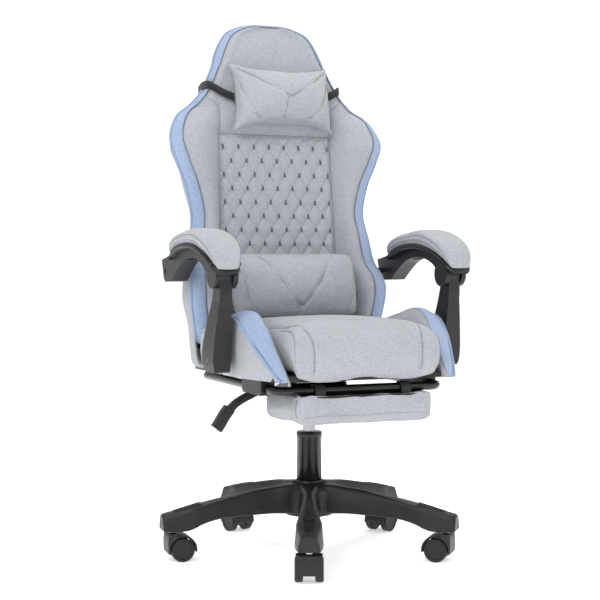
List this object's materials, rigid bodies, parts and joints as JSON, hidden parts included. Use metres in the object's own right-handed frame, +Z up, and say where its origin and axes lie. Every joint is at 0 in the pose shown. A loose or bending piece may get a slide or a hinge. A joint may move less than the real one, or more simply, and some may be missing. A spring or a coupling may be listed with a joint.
{
  "type": "gaming chair",
  "caption": "Reclining bucket-style chair with a quilted back, loose head and lumbar pillows, linked armrests, a pull-out footrest and a castered star base.",
  "frame": {"origin": "on the floor under the axis of the gas lift", "axes": "+Z up, the sitter faces -Y, +X is the sitter's left"},
  "size_m": [0.6285, 0.638, 1.1852],
  "materials": {
    "moulded_plastic": "fine spark-eroded texture",
    "wheel_nylon": "smooth nylon, lightly scuffed",
    "black_steel": "semi-gloss black powder coat",
    "bright_steel": "zinc plated",
    "chrome": "polished",
    "bush_plastic": "acetal",
    "fabric": "heathered plain weave",
    "accent_fabric": "plain weave",
    "strap": "woven elastic",
    "boot_rubber": "matte",
    "board": "bare plywood"
  },
  "bodies": {
    "base": {"star_base": "moulded_plastic", "gas_lift_tube": "black_steel", "column_collar": "moulded_plastic", "guide_bush": "bush_plastic"},
    "caster_1": {"caster_hood_1": "moulded_plastic", "caster_pins_1": "bright_steel"},
    "wheels_1": {"caster_wheels_1": "wheel_nylon"},
    "caster_2": {"caster_hood_2": "moulded_plastic", "caster_pins_2": "bright_steel"},
    "wheels_2": {"caster_wheels_2": "wheel_nylon"},
    "caster_3": {"caster_hood_3": "moulded_plastic", "caster_pins_3": "bright_steel"},
    "wheels_3": {"caster_wheels_3": "wheel_nylon"},
    "caster_4": {"caster_hood_4": "moulded_plastic", "caster_pins_4": "bright_steel"},
    "wheels_4": {"caster_wheels_4": "wheel_nylon"},
    "caster_5": {"caster_hood_5": "moulded_plastic", "caster_pins_5": "bright_steel"},
    "wheels_5": {"caster_wheels_5": "wheel_nylon"},
    "spindle": {"piston_rod": "bright_steel", "thrust_bearing": "bright_steel"},
    "column": {"gas_cylinder": "chrome", "tilt_housing": "black_steel", "tilt_pin": "bright_steel", "tension_spring": "bright_steel"},
    "tension_knob": {"tension_knob": "moulded_plastic"},
    "lift_lever": {"lift_lever": "moulded_plastic", "lever_boot": "boot_rubber"},
    "seat": {"mechanism_plate": "black_steel", "seat_board": "board", "seat_cushion": "fabric", "seat_wing_left": "accent_fabric", "seat_wing_right": "accent_fabric", "seat_bolts": "bright_steel", "arm_seat_bolts": "black_steel", "rail_guides": "moulded_plastic", "recliner_brackets": "black_steel"},
    "footrest_slide": {"footrest_rail_left": "black_steel", "footrest_rail_right": "black_steel", "footrest_bar": "black_steel"},
    "footrest_flap": {"footrest_board": "board", "footrest_pad": "fabric", "footrest_clips": "moulded_plastic"},
    "recline_lever": {"recline_lever": "moulded_plastic"},
    "back": {"recliner_arms": "black_steel", "back_frame": "black_steel", "back_shell": "fabric", "back_cushion": "fabric", "back_bolster_left": "accent_fabric", "back_bolster_right": "accent_fabric", "head_cushion": "fabric", "head_strap": "strap"},
    "head_pillow": {"head_pillow": "fabric"},
    "lumbar_pillow": {"lumbar_pillow": "fabric"},
    "arm_link_left": {"arm_upright_left": "moulded_plastic"},
    "arm_link_right": {"arm_upright_right": "moulded_plastic"},
    "arm_left": {"arm_bracket_left": "moulded_plastic", "arm_pad_left": "fabric"},
    "arm_right": {"arm_bracket_right": "moulded_plastic", "arm_pad_right": "fabric"}
  },
  "joints": [
    {"name": "caster_swivel_1", "type": "hinge", "parent": "base", "child": "caster_1", "pos_m": [-0.12242, -0.28154, 0.065], "axis": [0, 0, 1], "continuous": true},
    {"name": "wheel_spin_1", "type": "hinge", "parent": "caster_1", "child": "wheels_1", "pos_m": [-0.11484, -0.26411, 0.025], "axis": [0.9171, -0.3987, 0], "continuous": true},
    {"name": "caster_swivel_2", "type": "hinge", "parent": "base", "child": "caster_2", "pos_m": [0.22993, -0.20342, 0.065], "axis": [0, 0, 1], "continuous": true},
    {"name": "wheel_spin_2", "type": "hinge", "parent": "caster_2", "child": "wheels_2", "pos_m": [0.2157, -0.19084, 0.025], "axis": [0.6626, 0.749, 0], "continuous": true},
    {"name": "caster_swivel_3", "type": "hinge", "parent": "base", "child": "caster_3", "pos_m": [0.26452, 0.15581, 0.065], "axis": [0, 0, 1], "continuous": true},
    {"name": "wheel_spin_3", "type": "hinge", "parent": "caster_3", "child": "wheels_3", "pos_m": [0.24815, 0.14617, 0.025], "axis": [-0.5075, 0.8616, 0], "continuous": true},
    {"name": "caster_swivel_4", "type": "hinge", "parent": "base", "child": "caster_4", "pos_m": [-0.06645, 0.29972, 0.065], "axis": [0, 0, 1], "continuous": true},
    {"name": "wheel_spin_4", "type": "hinge", "parent": "caster_4", "child": "wheels_4", "pos_m": [-0.06234, 0.28117, 0.025], "axis": [-0.9763, -0.2164, 0], "continuous": true},
    {"name": "caster_swivel_5", "type": "hinge", "parent": "base", "child": "caster_5", "pos_m": [-0.30559, 0.02942, 0.065], "axis": [0, 0, 1], "continuous": true},
    {"name": "wheel_spin_5", "type": "hinge", "parent": "caster_5", "child": "wheels_5", "pos_m": [-0.28667, 0.0276, 0.025], "axis": [-0.0958, -0.9954, 0], "continuous": true},
    {"name": "seat_swivel", "type": "hinge", "parent": "base", "child": "spindle", "pos_m": [0, 0, 0.08], "axis": [0, 0, 1], "continuous": true},
    {"name": "seat_lift", "type": "slide", "parent": "spindle", "child": "column", "axis": [0, 0, 1], "range_m": [0, 0.08]},
    {"name": "tension_knob_turn", "type": "hinge", "parent": "column", "child": "tension_knob", "pos_m": [0, -0.062, 0.3], "axis": [0, 0, 1], "continuous": true},
    {"name": "lift_lever_pull", "type": "hinge", "parent": "column", "child": "lift_lever", "pos_m": [-0.057, -0.064, 0.362], "axis": [0, 1, 0], "range_deg": [0, 5], "stiffness_Nm_per_rad": 8, "springref_deg": -6.88},
    {"name": "seat_tilt", "type": "hinge", "parent": "column", "child": "seat", "pos_m": [0, -0.045, 0.368], "axis": [-1, 0, 0], "range_deg": [0, 12], "stiffness_Nm_per_rad": 450, "springref_deg": -11.46},
    {"name": "footrest_pull", "type": "slide", "parent": "seat", "child": "footrest_slide", "axis": [0, -1, 0], "range_m": [0, 0.25]},
    {"name": "footrest_flip", "type": "hinge", "parent": "footrest_slide", "child": "footrest_flap", "pos_m": [0, -0.262, 0.381], "axis": [-1, 0, 0], "range_deg": [0, 180.1]},
    {"name": "recline_lever_pull", "type": "hinge", "parent": "seat", "child": "recline_lever", "pos_m": [0.256, 0.176, 0.44], "axis": [-1, 0, 0], "range_deg": [0, 20], "stiffness_Nm_per_rad": 3, "springref_deg": -11.46},
    {"name": "recline", "type": "hinge", "parent": "seat", "child": "back", "pos_m": [0, 0.176, 0.44], "axis": [-1, 0, 0], "range_deg": [0, 34]},
    {"name": "head_pillow_slide", "type": "slide", "parent": "back", "child": "head_pillow", "axis": [0, 0.1959, 0.9806], "range_m": [-0.03, 0.03]},
    {"name": "lumbar_pillow_slide", "type": "slide", "parent": "back", "child": "lumbar_pillow", "axis": [0, 0.1959, 0.9806], "range_m": [0, 0.08]},
    {"name": "arm_link_left_turn", "type": "hinge", "parent": "seat", "child": "arm_link_left", "pos_m": [0.262, -0.126, 0.436], "axis": [-1, 0, 0], "range_deg": [0, 34.1]},
    {"name": "arm_left_turn", "type": "hinge", "parent": "arm_link_left", "child": "arm_left", "pos_m": [0.262, -0.162, 0.609], "axis": [-1, 0, 0], "range_deg": [-34.1, 0.1]},
    {"name": "arm_link_right_turn", "type": "hinge", "parent": "seat", "child": "arm_link_right", "pos_m": [-0.262, -0.126, 0.436], "axis": [-1, 0, 0], "range_deg": [0, 34.1]},
    {"name": "arm_right_turn", "type": "hinge", "parent": "arm_link_right", "child": "arm_right", "pos_m": [-0.262, -0.162, 0.609], "axis": [-1, 0, 0], "range_deg": [-34.1, 0.1]}
  ],
  "couplings": [
    {"joint": "footrest_flip", "follows": "footrest_pull", "rad_per_m": 12.566},
    {"joint": "arm_link_left_turn", "follows": "recline", "ratio": 1},
    {"joint": "arm_left_turn", "follows": "recline", "ratio": -1},
    {"joint": "arm_link_right_turn", "follows": "recline", "ratio": 1},
    {"joint": "arm_right_turn", "follows": "recline", "ratio": -1}
  ]
}
